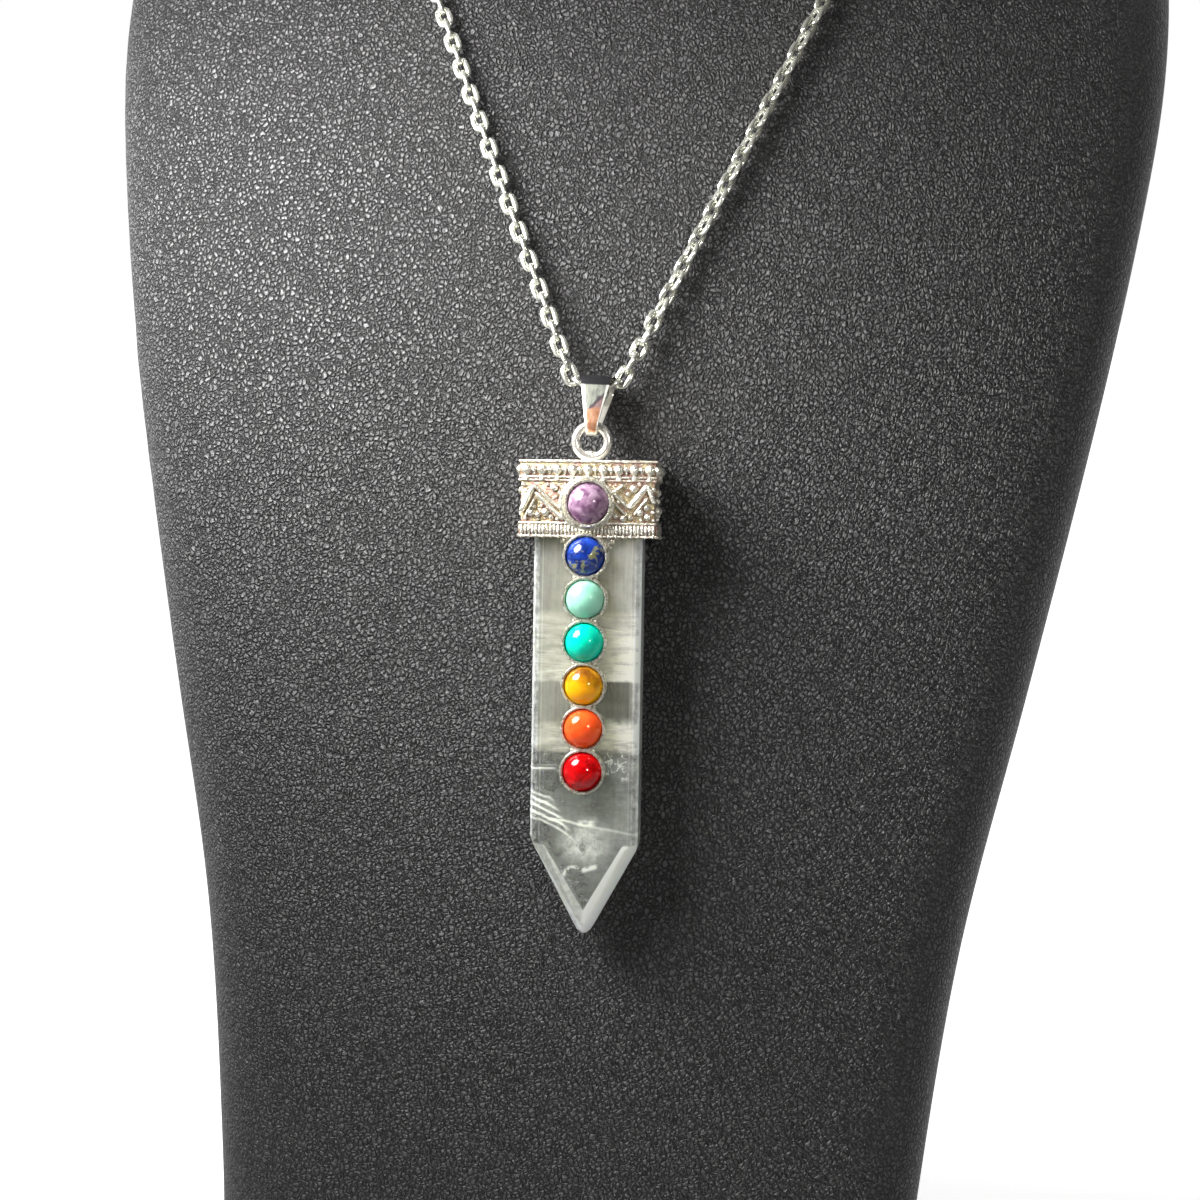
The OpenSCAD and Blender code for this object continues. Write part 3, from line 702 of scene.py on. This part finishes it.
def make_bail(finish):
    """The folded strip, from the frame's own, with softened edges."""
    bail = copy_of(frame["nodes"]["bail"], "folded_bail")
    edit(bail)
    bpy.ops.mesh.select_all(action="SELECT")
    bpy.ops.mesh.remove_doubles(threshold=1e-6)
    bpy.ops.mesh.customdata_custom_splitnormals_clear()
    bpy.ops.mesh.dissolve_limited(angle_limit=math.radians(1.0))
    leave()
    soften(bail, 0.07, 50)
    shade(bail, 35)
    return wear(bail, "bail", "silver", finish, replaces=("bail",))


def box_piece(name, w, d, low, high):
    """A plain block of the cap in mm: its width, its depth, and how low and high it reaches."""
    piece = begin(bpy.ops.mesh.primitive_cube_add, name, size=1, location=(0, 0, (low + high) / 2 * MM))
    piece.scale = (w * MM, d * MM, (high - low) * MM)
    bpy.ops.object.transform_apply(location=True, rotation=False, scale=True)
    return piece


def make_ring(finish):
    """The soldered ring, with its drops of solder low on it."""
    ring = hoop("hanging_ring", 56, 16, RING_R, RING_WIRE, down=RING_R)
    drop = ball("solder", 16, 10, 0.36)
    push_where(drop, lambda p, v: p.z > 0.2 * MM, (0.06, 0, 0.05))
    leave()
    low = -2 * RING_R + 0.42
    drops = many(drop, [at(-0.55, -0.05, low + 0.12, grow=1.0), at(-0.1, -0.1, low, grow=1.15),
                        at(0.45, 0.0, low + 0.06, grow=0.8), at(0.1, 0.15, low + 0.1, grow=0.9)], "solder_drops")
    shade(drops)
    ring = joined("hanging_ring", ring, drops)
    shade(ring, 60)
    return wear(hang(ring), "pendant", "silver", finish, replaces=("cap",))


def round_the_cap(step, z, front_y, end_x, inset):
    """Places along the cap's front and two ends, a step apart, facing outward."""
    places = []
    for wall, long, off in ((0, CAP_W, front_y), (90, CAP_D, end_x), (-90, CAP_D, end_x)):
        count = int((long - 2 * inset) / step)
        for k in range(count + 1):
            places.append(rz(wall) @ at((k - count / 2) * step, -off, z))
    return places


def make_cap_body(finish):
    """The cap's walls: a block with a socket for the quartz, a flange, ledges and a foot band."""
    body = box_piece("cap_body", CAP_W - 0.7, CAP_D, CAP_LOW, CAP_TOP)
    edit(body)
    pick(body, "faces", lambda p, f: f.normal.z < -0.9)
    bpy.ops.mesh.inset(thickness=1.63 * MM)
    bpy.ops.transform.resize(value=(1, 6.24 / 4.74, 1), center_override=(0, 0, CAP_LOW * MM))
    bpy.ops.mesh.extrude_region_move(TRANSFORM_OT_translate={"value": (0, 0, 6.3 * MM)})
    leave()
    soften(body, 0.12, 40)
    parts = [body]
    # Each row: name, width, depth, low, high, softness.
    for name, w, d, low, high, soft in (
            ("flange", 17.9, 8.5, -5.05, CAP_TOP, 0.14),
            ("bead_floor", 17.4, 8.15, -6.8, -5.05, 0.05),
            ("ledge", 17.8, 8.62, -7.02, -6.72, 0.12),
            ("ledge_low", 17.7, 8.45, -7.44, -7.14, 0.12),
            ("foot_ledge", 17.8, 8.6, -12.92, -12.6, 0.12),
            ("foot_floor", 17.5, 8.25, -14.2, -12.9, 0.05),
            ("foot_rim", 17.9, 8.5, CAP_LOW, -14.26, 0.1)):
        parts.append(open_band(name, w, d, low, high, soft))
    cap = joined("cap_body", *parts)
    shade(cap, 40)
    return wear(hang(cap), "pendant", "silver", finish)


def open_band(name, w, d, low, high, soft):
    """A band round the cap, open in the middle where the quartz goes."""
    band = box_piece(name, w, d, low, high)
    edit(band)
    pick(band, "faces", lambda p, f: abs(f.normal.z) > 0.9)
    bpy.ops.mesh.inset(thickness=(d - 6.6) / 2 * MM)
    bpy.ops.mesh.bridge_edge_loops()
    bpy.ops.mesh.select_all(action="SELECT")
    bpy.ops.mesh.normals_make_consistent(inside=False)
    leave()
    return soften(band, soft, 50)


def make_beads(finish):
    """The bead row under the flange: a round bead on a flared stem, with a small comma of silver beside it."""
    bead = ball("bead", 14, 10, 0.7)
    pick(bead, "faces", lambda p, f: p.z < -0.5 * MM)
    for down, grow in ((0.25, 0.72), (0.3, 1.15), (0.25, 1.45)):
        bpy.ops.mesh.extrude_region_move(TRANSFORM_OT_translate={"value": (0, 0, -down * MM)})
        bpy.ops.transform.resize(value=(grow, grow, 1), center_override=(0, 0, 0))
    leave()
    tidy(bead, 60)
    comma = ball("comma", 10, 8, 0.42)
    resize_where(comma, lambda p, v: p.z < -0.1 * MM, (0.55, 0.8, 2.1), (0.1, 0, -0.05))
    leave()
    shade(comma)
    row = round_the_cap(1.98, -5.9, 4.02, 8.72, 0.5)
    beads = many(bead, row, "bead_row")
    commas = many(comma, [p @ at(0.93, -0.06, 0.0) for p in row[:-1]], "commas")
    return wear(hang(joined("cap_bead_row", beads, commas)), "pendant", "silver", finish)


def wire(start, end, width):
    """A raised wire between two places on the frieze, rounded on top, in mm: across and down from the cap's top."""
    a = Vector((start[0], FRIEZE_Y, CAP_TOP - start[1]))
    b = Vector((end[0], FRIEZE_Y, CAP_TOP - end[1]))
    along = (b - a).normalized()
    aside = along.cross(Vector((0, -1, 0))).normalized()
    height, foot = 0.6, 0.15
    rings = []
    for t, full in ((0.0, 0.55), (0.06, 0.9), (0.14, 1.0), (0.86, 1.0), (0.94, 0.9), (1.0, 0.55)):
        middle = a.lerp(b, t)
        ring = []
        for k in range(7):
            turn = k * math.pi / 6
            rise = math.sin(turn) * height * full - (foot if k in (0, 6) else 0)
            ring.append((middle + aside * (math.cos(turn) * width / 2 * full) + Vector((0, -1, 0)) * rise) * MM)
        rings.append(ring)
    return lofted("wire", rings)


def make_frieze(finish):
    """Wirework and round grains on the frieze, either side of the violet stone."""
    lines = [
        ((-8.6, 6.7), (-6.95, 3.3), 0.85), ((-6.95, 3.25), (-3.5, 6.35), 0.55), ((-6.75, 4.25), (-3.1, 7.7), 0.72),
        ((-8.0, 7.3), (-6.75, 5.0), 0.36), ((3.0, 4.35), (4.7, 3.1), 0.5), ((3.3, 4.15), (5.25, 6.05), 0.65),
        ((3.2, 5.25), (5.1, 7.1), 0.42), ((5.25, 6.2), (7.7, 3.2), 0.9), ((5.95, 6.95), (7.75, 4.75), 0.45),
        ((7.7, 3.2), (8.6, 5.6), 0.75)]
    parts = [wire(start, end, width) for start, end, width in lines]
    # Grains: across, down from the cap's top, size.
    grains = [
        (-4.35, 3.85, 1.0), (-3.6, 4.5, 0.6), (-4.1, 5.0, 0.5), (-5.2, 3.5, 0.5), (-7.9, 4.3, 0.55), (-8.3, 3.5, 0.6),
        (-6.9, 6.3, 0.6), (-7.3, 7.1, 0.95), (-6.4, 7.3, 0.75), (-5.45, 7.0, 1.0), (-4.7, 7.65, 0.7), (-8.0, 7.8, 0.6),
        (-5.9, 6.2, 0.45), (-3.9, 7.9, 0.5), (-6.4, 7.95, 0.45), (-2.9, 3.4, 0.5),
        (5.9, 3.9, 1.05), (5.2, 4.6, 0.6), (6.6, 3.3, 0.55), (4.3, 3.5, 0.45), (3.9, 5.6, 0.5), (6.1, 5.2, 0.5),
        (3.6, 7.4, 0.75), (4.6, 7.7, 0.85), (5.5, 7.6, 0.6), (6.7, 6.9, 1.0), (7.6, 6.3, 0.8), (7.7, 7.5, 0.9),
        (8.4, 6.9, 0.6), (8.5, 7.9, 0.5), (6.9, 7.95, 0.5), (8.5, 4.0, 0.6), (3.2, 6.5, 0.5), (7.5, 5.3, 0.5)]
    grain = ball("grain", 12, 8, 0.54)
    resize_where(grain, lambda p, v: p.y > 0.25 * MM, (1.2, 0.6, 1.2), (0, 0.25, 0))
    leave()
    shade(grain)
    top = CAP_TOP + 0.25
    places = [at(x, FRIEZE_Y - 0.05, top - down, rz(rng.uniform(-8, 8)), size) for x, down, size in grains]
    for side in (1, -1):
        for y, down, size in ((-2.8, 4.2, 0.9), (-1.2, 6.6, 1.0), (0.4, 4.3, 0.9), (2.0, 6.6, 1.0), (-2.6, 7.2, 0.7),
                              (-0.2, 7.7, 0.6), (0.9, 7.2, 0.7), (-1.9, 5.4, 0.6), (1.3, 5.4, 0.6)):
            places.append(at(side * 8.65, y, top - down, rz(90 * side), size))
    parts.append(many(grain, places, "grains"))
    frieze = joined("cap_frieze", *parts)
    return wear(hang(frieze), "pendant", "silver", finish)


def make_foot_ribs(finish):
    """The fine ribbed row round the cap's foot."""
    rib = ball("rib", 8, 6, 0.24)
    for way in (1, -1):
        push_where(rib, lambda p, v: p.z * way > 0.05 * MM, (0, 0, way * 0.42))
    leave()
    shade(rib)
    ribs = many(rib, round_the_cap(0.47, -13.6, 4.13, 8.76, 0.3), "cap_foot_ribs")
    tooth = ball("tooth", 8, 6, 0.25)
    resize_where(tooth, lambda p, v: p.z > 0.1 * MM, (0.8, 0.8, 1.3), (0, 0, 0.1))
    leave()
    shade(tooth)
    teeth = many(tooth, round_the_cap(0.94, -14.43, 4.2, 8.88, 0.3), "teeth")
    return wear(hang(joined("cap_foot_ribs", ribs, teeth)), "pendant", "silver", finish)


def make_web(finish):
    """The thin web that ties the first cup on the quartz to the cap, with its small side curls."""
    side = [(3.7, 0.4), (3.35, -0.35), (2.9, -1.1), (2.4, -1.6)]
    outline = [(-x, z) for x, z in side] + side[::-1]
    rings = [[Vector((x, y, CAP_LOW + z)) * MM for x, z in outline] for y in (FIRST_CUP.y, FIRST_CUP.y - 0.45)]
    web = lofted("cup_web", rings)
    soften(web, 0.08, 60)
    curl = ball("curl", 10, 8, 0.3)
    resize_where(curl, lambda p, v: p.z < 0, (0.7, 0.7, 1.8))
    leave()
    spots = ((-3.2, -0.3, 25, 1.0), (-2.8, -1.1, 30, 0.8), (3.2, -0.3, -25, 1.1), (2.85, -1.0, -30, 0.9),
             (3.7, 0.1, -40, 0.8))
    curls = many(curl, [at(x, FIRST_CUP.y - 0.4, CAP_LOW + z, ry(r), g) for x, z, r, g in spots], "curls")
    return wear(hang(joined("cup_web", web, curls)), "pendant", "silver", finish)


def cup_place(k):
    return FIRST_CUP - Vector((0, 0, CUP_PITCH * k))


def make_cups(finish):
    """Bezel cups: a straight wall with a rounded lip that leans over the stone, joined edge to edge."""
    def cup(d):
        outer, inner = d / 2 + CUP_WALL, d / 2 + STONE_GAP
        profile = [(0.001, 0.0), (outer, 0.0), (outer, CUP_H - 0.3), (outer - 0.04, CUP_H - 0.1),
                   (outer - 0.14, CUP_H), (inner + 0.08, CUP_H - 0.02), (inner, CUP_H - 0.12), (inner, CUP_FLOOR),
                   (0.001, CUP_FLOOR)]
        return turned("cup", profile, 40)

    cups = many(cup(STONE_D), [at(*cup_place(k)) for k in range(6)], "cups")
    large = many(cup(VIOLET_D), [at(*VIOLET)], "large_cup")
    collar = hoop("collar", 44, 10, 3.25, 0.34)
    edit(collar)
    resize_where(collar, lambda p, v: p.x < 0, (1.07, 1.25, 1.0))
    resize_where(collar, lambda p, v: p.x > 1 * MM, (0.965, 0.8, 0.98))
    leave()
    collar.data.transform(at(VIOLET.x - 0.08, -4.12, VIOLET.z))
    shade(collar)
    # Small fillets of solder where two cups touch.
    drop = ball("fillet", 12, 8, 0.42)
    resize_where(drop, lambda p, v: p.y < 0, (1.0, 0.8, 0.8))
    leave()
    fillets = many(drop, [at(*(cup_place(k + 0.5) + Vector((side * 1.25, -1.0, 0))))
                          for k in range(5) for side in (1, -1)], "fillets")
    shade(fillets)
    cups = joined("bezel_cups", cups, large, collar, fillets)
    return wear(hang(cups), "pendant", "silver", finish)


def make_stones():
    """Seven domed stones, each a little different from the next."""
    kinds = [
        ("amethyst", "stone_violet", "violet_stone", VIOLET_D, VIOLET,
         gem("amethyst", (0.13, 0.05, 0.12), (0.46, 0.32, 0.42), 1.2, ((0.12, 0.05, 0.11), 0.58), 0.2, None, 0.8)),
        ("lapis", "stone_blue", "blue_stone", STONE_D, cup_place(0),
         gem("lapis", (0.003, 0.01, 0.09), (0.012, 0.06, 0.42), 2.2, ((0.26, 0.27, 0.13), 0.52))),
        ("pale_aqua", "stone_aqua", "aqua_stone", STONE_D, cup_place(1),
         gem("pale_aqua", (0.24, 0.56, 0.42), (0.34, 0.68, 0.53), 0.8, None, 0.3)),
        ("sea_green", "stone_green", "green_stone", STONE_D, cup_place(2),
         gem("sea_green", (0.0, 0.55, 0.38), (0.0, 0.68, 0.48), 0.6)),
        ("amber_yellow", "stone_amber", "amber_stone", STONE_D, cup_place(3),
         gem("amber_yellow", (0.2, 0.06, 0.004), (0.62, 0.27, 0.008), 2.0, ((0.16, 0.04, 0.006), 0.54), 0.2,
             # The amber's foot is painted brighter, as light coming through.
             (cup_place(3).z + 1.6, cup_place(3).z - 0.6, (0.95, 0.45, 0.003)))),
        ("bright_orange", "stone_orange", "orange_stone", STONE_D, cup_place(4),
         gem("bright_orange", (0.9, 0.09, 0.012), (1.0, 0.13, 0.02), 0.6, None, 0.2)),
        ("clear_red", "stone_red", "red_stone", STONE_D, cup_place(5),
         gem("clear_red", (0.36, 0.0, 0.001), (0.9, 0.002, 0.004), 2.2, ((0.16, 0.0, 0.002), 0.56), 0.3))]
    for name, node, slot, d, place, finish in kinds:
        # A short straight wall, then a dome that is part of a round ball.
        round_r = (d * d / 4 + STONE_H ** 2) / (2 * STONE_H)
        profile = [(d / 2, share * STONE_WALL) for share in (0.0, 0.5, 1.0)]
        rows = 14
        for k in range(1, rows + 1):
            h = STONE_H * math.sin(k / rows * math.pi / 2)
            r = math.sqrt(max(round_r ** 2 - (h + round_r - STONE_H) ** 2, 1e-6))
            profile.append((max(r, 0.02), STONE_WALL + h))
        stone = turned(name, profile, 40)
        stone.data.transform(at(*(place - Vector((0, CUP_FLOOR + STONE_GAP, 0)))))
        shade(stone, 50)
        wear(hang(stone), "pendant", slot, finish, replaces=(node,))


def quartz_ring(half_w, half_d, cut, z, skew=0.0):
    """Eight corners of the quartz at one height, in mm."""
    corners = [(half_w, half_d - cut), (half_w - cut, half_d), (-half_w + cut, half_d), (-half_w, half_d - cut),
               (-half_w, -half_d + cut), (-half_w + cut, -half_d), (half_w - cut, -half_d), (half_w, -half_d + cut)]
    return [Vector((x, y, z - skew * x / QUARTZ_W * 2)) * MM for x, y in corners]


def make_quartz():
    """The quartz bar: long corner facets that widen at the shoulders and run down to a rounded point."""
    half_w, half_d = QUARTZ_W / 2, QUARTZ_D / 2
    rings = [quartz_ring(half_w, half_d, 0.7, QUARTZ_TOP), quartz_ring(half_w, half_d, 0.7, SHOULDER + 0.6, 0.35),
             quartz_ring(6.75, 2.95, 1.5, SHOULDER - 0.45, 0.35), quartz_ring(1.4, 1.5, 1.15, TIP + 1.3),
             quartz_ring(0.9, 1.25, 0.65, TIP + 0.5), quartz_ring(0.42, 1.0, 0.3, TIP + 0.12),
             quartz_ring(0.12, 0.8, 0.1, TIP)]
    bar_of_quartz = lofted("quartz_bar", rings)
    soften(bar_of_quartz, 0.13, 18)
    shade(bar_of_quartz, 30)
    wear(hang(bar_of_quartz), "pendant", "quartz", quartz(), replaces=("crystal",))


def make_veils():
    """Healed cracks inside the quartz: thin wavy sheets at the heights where the bar looks clouded."""
    sheets = []
    # Each row: middle across, depth, height; size across, size deep or high; turns about X and Y.
    for x, y, z, w, h, tilt, roll in (
            (-0.2, 0.2, -24.9, 12.6, 4.6, 12, 1), (0.4, 0.3, -27.5, 12.8, 4.8, 24, -4),
            (-0.6, 0.2, -30.0, 12.4, 4.6, 16, 3), (0.2, 0.4, -32.8, 12.8, 4.8, 8, -1),
            (0.3, 0.2, -38.9, 12.6, 4.6, 14, 2), (-0.3, 0.3, -41.6, 12.6, 4.8, 22, -3),
            (-4.0, 0.2, -44.7, 5.0, 4.4, 6, 0), (-3.6, 0.2, -48.8, 6.0, 4.6, 20, 22),
            (-2.6, 0.2, -50.9, 7.5, 4.6, 28, 16), (0.0, 0.3, -52.4, 12.6, 4.8, 18, 9),
            (0.0, 0.4, -57.2, 6.0, 5.0, 60, -12), (0.4, 0.2, -60.5, 3.2, 3.0, 70, 20)):
        sheet = begin(bpy.ops.mesh.primitive_grid_add, "veil", x_subdivisions=20, y_subdivisions=12, size=MM)
        sheet.scale = (w, h, 1)
        bpy.ops.object.transform_apply(location=False, rotation=False, scale=True)
        edit(sheet)
        mesh = bmesh.from_edit_mesh(sheet.data)
        phase = rng.uniform(0, 6)
        for corner in mesh.verts:
            u, v = corner.co.x / MM, corner.co.y / MM
            corner.co.z = MM * (0.25 * math.sin(u * 0.9 + phase) * math.cos(v * 0.8 + phase)
                                + 0.12 * math.sin(u * 2.3 + 2 * phase + v))
        bmesh.update_edit_mesh(sheet.data)
        leave()
        sheet.data.transform(at(x, y, z) @ ry(roll) @ rx(tilt))
        shade(sheet)
        sheets.append(sheet)
    group = joined("quartz_veils", *sheets)
    wear(hang(group), "pendant", "quartz", veils())


# ---------------------------------------------------------------- the room

def make_room():
    """A round pale floor, and a room that is white behind the object and dim in front of it."""
    floor = begin(bpy.ops.mesh.primitive_circle_add, "floor", vertices=96, radius=4.0, fill_type="NGON")
    edit(floor)
    bpy.ops.mesh.inset(thickness=1.0)
    leave()
    floor.data.materials.append(paper())
    room = Finish("soft_room", "World")
    way = room.add("ShaderNodeTexCoord", out="Generated")
    behind = room.along(way, "Y").step(0.2, 0.75)
    left = room.along(way, "X").step(-0.1, -0.9)
    above = room.along(way, "Z").step(0.3, 0.95)
    glow = room.tint(left, (0.056, 0.046, 0.038), (0.215, 0.215, 0.215))
    glow = room.tint(above, glow, (0.125, 0.125, 0.125))
    glow = room.tint(behind, glow, (1.0, 1.0, 1.0))
    seen = room.add("ShaderNodeLightPath", out="Is Camera Ray")
    bpy.context.scene.world = room.done(room.add(
        "ShaderNodeBackground", None, {"Color": room.tint(seen, glow, (1.0, 1.0, 1.0)), "Strength": 1.0}))


def make_camera():
    """The camera at the photograph's angle. Returns its own right, up and back."""
    az, el, roll = (math.radians(v) for v in (AZIMUTH, ELEVATION, ROLL))
    back = Vector((math.sin(az) * math.cos(el), -math.cos(az) * math.cos(el), math.sin(el)))
    right = (-back).cross(Vector((0, 0, 1))).normalized()
    up = right.cross(-back)
    right, up = right * math.cos(roll) + up * math.sin(roll), up * math.cos(roll) - right * math.sin(roll)
    data = bpy.data.cameras.new("camera")
    camera = bpy.data.objects.new("camera", data)
    bpy.context.scene.collection.objects.link(camera)
    turn = Matrix((right, up, back)).transposed().to_4x4()
    camera.matrix_world = Matrix.Translation(TARGET + back * DISTANCE) @ turn
    data.sensor_width = SENSOR_MM
    data.lens = SENSOR_MM * FOCAL_PX / FRAME_PX
    data.clip_start, data.clip_end = 0.01, 20.0
    bpy.context.scene.camera = camera
    return right, up, back


def make_lights(right, up, back):
    """A soft window light close by at the upper left, and a faint second light from the front."""
    def lamp(name, way, far, wide, power, colour, spread, aim=TARGET):
        data = bpy.data.lights.new(name, "AREA")
        data.shape, data.size, data.energy, data.color = "DISK", wide, power, colour
        data.spread = math.radians(spread)
        light = bpy.data.objects.new(name, data)
        bpy.context.scene.collection.objects.link(light)
        spot = TARGET + way.normalized() * far
        light.location = spot
        light.rotation_mode = "QUATERNION"
        light.rotation_quaternion = (aim - spot).to_track_quat("-Z", "Y")
        light.visible_camera = False
    lamp("window", right * -0.75 + up * 0.7 + back * 0.36, 0.12, 0.09, 0.33, (1.0, 0.99, 0.98), 130,
         TARGET + (up - right) * 0.05)
    lamp("second", right * 0.458 + up * 0.184 + back * 0.87, 0.75, 0.09, 0.045, (1.0, 0.98, 0.95), 30)


bright = silver("polished_silver", (0.98, 0.95, 0.88), 0.2, 0.03, 0.8)
links_finish = silver("chain_silver", (0.93, 0.94, 0.84), 0.16, 0.02, 0.82)
cast = cast_silver()
bezel = bezel_silver()

make_bust()
make_chain(links_finish)
make_clasp(bright)
make_bail(bail_painted_reflections())
make_ring(bright)
make_cap_body(cast)
make_beads(cast)
make_frieze(cast)
make_foot_ribs(cast)
make_web(bezel)
make_cups(bezel)
make_stones()
make_quartz()
make_veils()
make_room()
make_lights(*make_camera())

bpy.context.scene.view_settings.view_transform = "Standard"
bpy.context.view_layer.update()
